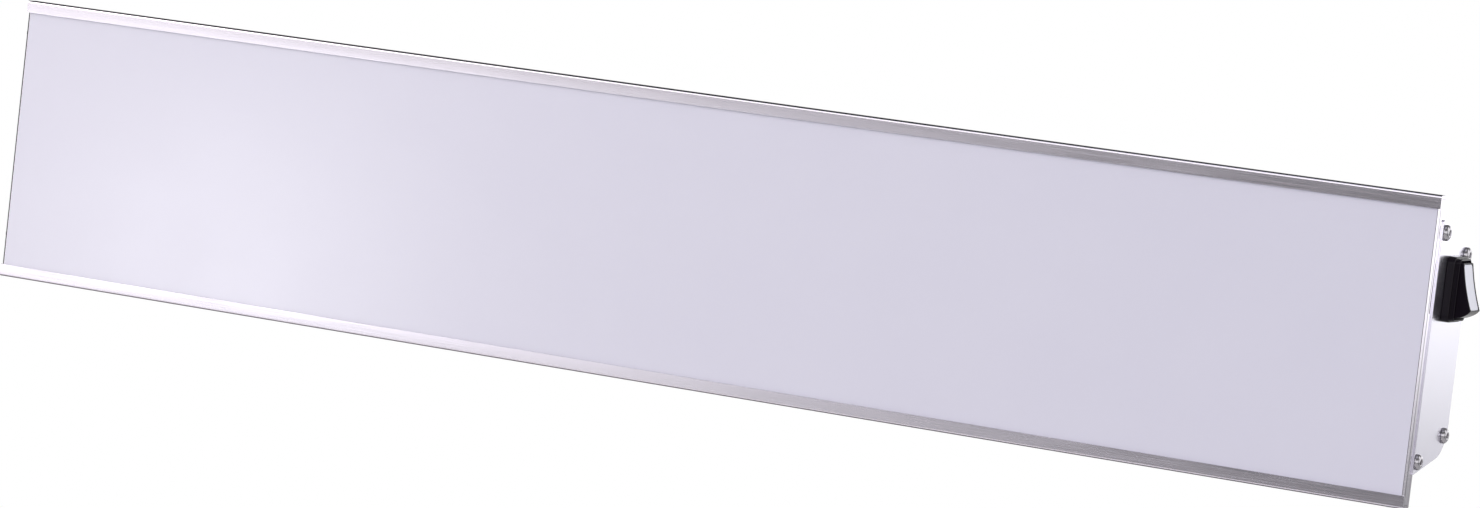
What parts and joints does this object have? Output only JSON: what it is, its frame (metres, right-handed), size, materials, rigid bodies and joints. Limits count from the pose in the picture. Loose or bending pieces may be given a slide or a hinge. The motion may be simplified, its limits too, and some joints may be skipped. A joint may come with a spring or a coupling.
{
  "type": "infrared heater",
  "caption": "Long flat infrared heater with a white glass-ceramic front in an extruded aluminium housing, a rocker switch on one end and mounting slots along the back.",
  "frame": {"origin": "centre of the flat back of the housing, between the two mounting slots", "axes": "+X along the heater towards the end with the switch, +Y out of the back towards the wall or ceiling, +Z across the heater towards the switch's side"},
  "size_m": [1.023, 0.0605, 0.183],
  "materials": {
    "anodised_aluminium": "extruded, fine brushed along its length, clear anodised",
    "white_glass_ceramic": "opaque white, glossy",
    "fibre_seal": "woven glass-fibre tape",
    "bright_aluminium": "bright, cut edge",
    "end_plate_aluminium": "bright anodised sheet",
    "stainless_steel": "polished button heads",
    "reflector_sheet": "mirror bright",
    "fibre_board": "matte",
    "bracket_aluminium": "mill finish sheet",
    "white_ceramic": "unglazed",
    "quartz_glass": "clear",
    "carbon_ribbon": "matte black",
    "wire_sleeve": "woven glass-fibre sleeve",
    "switch_plastic": "black, half gloss",
    "rocker_face_plastic": "light grey, half gloss",
    "brass": "bright",
    "gland_plastic": "black, fine grained",
    "gland_rubber": "matte black"
  },
  "bodies": {
    "heater": {"housing": "anodised_aluminium", "glass_panel": "white_glass_ceramic", "gasket_top": "fibre_seal", "gasket_bottom": "fibre_seal", "side_bar_right": "bright_aluminium", "side_bar_left": "bright_aluminium", "end_plate_right": "end_plate_aluminium", "end_plate_left": "end_plate_aluminium", "end_screw_right_1": "stainless_steel", "end_screw_right_2": "stainless_steel", "end_screw_right_3": "stainless_steel", "end_screw_right_4": "stainless_steel", "end_screw_left_1": "stainless_steel", "end_screw_left_2": "stainless_steel", "end_screw_left_3": "stainless_steel", "end_screw_left_4": "stainless_steel", "reflector": "reflector_sheet", "insulation_board": "fibre_board", "lamp_bracket_left": "bracket_aluminium", "lamp_bracket_right": "bracket_aluminium", "lamp_base_left_upper": "white_ceramic", "lamp_base_left_lower": "white_ceramic", "lamp_base_right_upper": "white_ceramic", "lamp_base_right_lower": "white_ceramic", "lamp_tube_upper": "quartz_glass", "lamp_tube_lower": "quartz_glass", "lamp_filament_upper": "carbon_ribbon", "lamp_filament_lower": "carbon_ribbon", "lamp_lead_upper": "wire_sleeve", "lamp_lead_lower": "wire_sleeve", "lamp_link_wire": "wire_sleeve", "switch_housing": "switch_plastic", "switch_terminal_upper": "brass", "switch_terminal_lower": "brass", "terminal_block": "white_ceramic", "terminal_screw_1": "brass", "terminal_screw_2": "brass", "terminal_screw_3": "brass", "switch_wire_upper": "wire_sleeve", "switch_wire_lower": "wire_sleeve", "gland_body": "gland_plastic", "gland_cap": "gland_plastic", "gland_seal": "gland_rubber", "gland_locknut": "gland_plastic"},
    "rocker": {"rocker": "switch_plastic", "rocker_face": "rocker_face_plastic"}
  },
  "joints": [
    {"name": "rocker_tilt", "type": "hinge", "parent": "heater", "child": "rocker", "pos_m": [0.4971, -0.027, 0.034], "axis": [0, 1, 0], "range_deg": [0, 31]}
  ]
}
